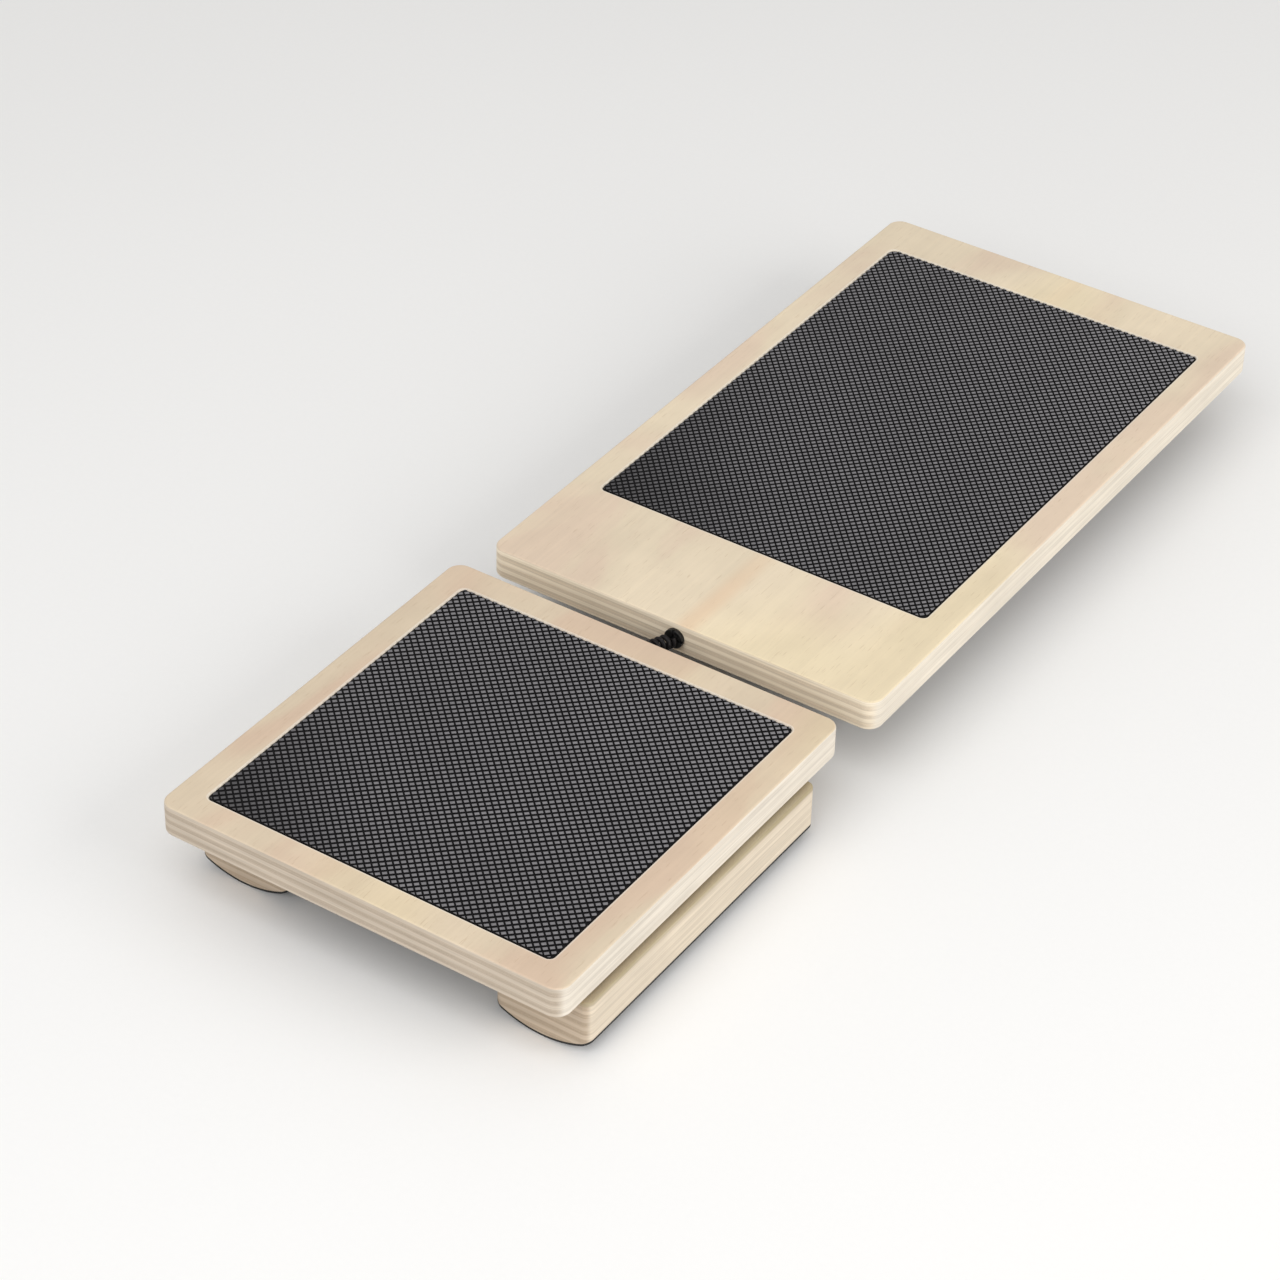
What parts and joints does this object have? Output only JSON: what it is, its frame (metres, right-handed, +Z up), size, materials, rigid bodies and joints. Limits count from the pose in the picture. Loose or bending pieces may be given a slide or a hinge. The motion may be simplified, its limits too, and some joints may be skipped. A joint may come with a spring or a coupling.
{
  "type": "two-part slant and rocker board",
  "caption": "Foot and ankle training board: a heel plate and a longer forefoot plate of plywood with grip pads, joined by a short spring and standing on movable slats with rounded undersides.",
  "frame": {"origin": "middle of the board's length and width, on the floor", "axes": "+X across the board to the right, +Y from the heel towards the toes, +Z up"},
  "size_m": [0.1644, 0.461, 0.0357],
  "materials": {
    "plate_plywood": "clear matt lacquer over birch plywood",
    "slat_plywood": "clear matt lacquer over birch plywood",
    "grip_rubber": "moulded diamond grip, matt",
    "loop_fabric": "brushed loop pile",
    "hook_strip": "woven hook tape",
    "sole_rubber": "ribbed, matt",
    "sleeve_brass": "machined",
    "plug_black": "moulded black, low gloss",
    "spring_black": "black coated spring wire"
  },
  "bodies": {
    "heel_board": {"heel_plate": "plate_plywood", "heel_grip_pad": "grip_rubber", "heel_loop_panel": "loop_fabric", "heel_insert": "sleeve_brass", "heel_link_plug": "plug_black"},
    "link_rear": {"link_spring_rear": "spring_black"},
    "link_front": {"link_spring_front": "spring_black"},
    "forefoot_board": {"forefoot_plate": "plate_plywood", "forefoot_grip_pad": "grip_rubber", "forefoot_loop_panel": "loop_fabric", "forefoot_insert": "sleeve_brass", "forefoot_link_plug": "plug_black"},
    "heel_right_rocker": {"heel_right_slat": "slat_plywood", "heel_right_hook_strip": "hook_strip", "heel_right_sole": "sole_rubber"},
    "heel_left_rocker": {"heel_left_slat": "slat_plywood", "heel_left_hook_strip": "hook_strip", "heel_left_sole": "sole_rubber"},
    "forefoot_rocker": {"forefoot_slat": "slat_plywood", "forefoot_hook_strip": "hook_strip", "forefoot_sole": "sole_rubber"}
  },
  "joints": [
    {"name": "link_yaw", "type": "hinge", "parent": "heel_board", "child": "link_rear", "pos_m": [-0.00305, -0.0639, 0.02945], "axis": [0, 0, 1], "range_deg": [-6, 6], "stiffness_Nm_per_rad": 1.4},
    {"name": "link_pitch", "type": "hinge", "parent": "link_rear", "child": "link_front", "pos_m": [-0.0008, -0.0585, 0.02945], "axis": [1, 0, 0], "range_deg": [-6, 18], "stiffness_Nm_per_rad": 1.4},
    {"name": "link_roll", "type": "hinge", "parent": "link_front", "child": "forefoot_board", "pos_m": [0.00145, -0.0531, 0.02945], "axis": [0, 1, 0], "range_deg": [-15, 15], "stiffness_Nm_per_rad": 1.6},
    {"name": "heel_right_slat_shift", "type": "slide", "parent": "heel_board", "child": "heel_right_rocker", "axis": [1, 0, 0], "range_m": [-0.038, 0]},
    {"name": "heel_left_slat_shift", "type": "slide", "parent": "heel_board", "child": "heel_left_rocker", "axis": [1, 0, 0], "range_m": [-0.0034, 0.038]},
    {"name": "forefoot_slat_shift", "type": "slide", "parent": "forefoot_board", "child": "forefoot_rocker", "axis": [1, 0, 0], "range_m": [-0.06, 0.06]}
  ]
}
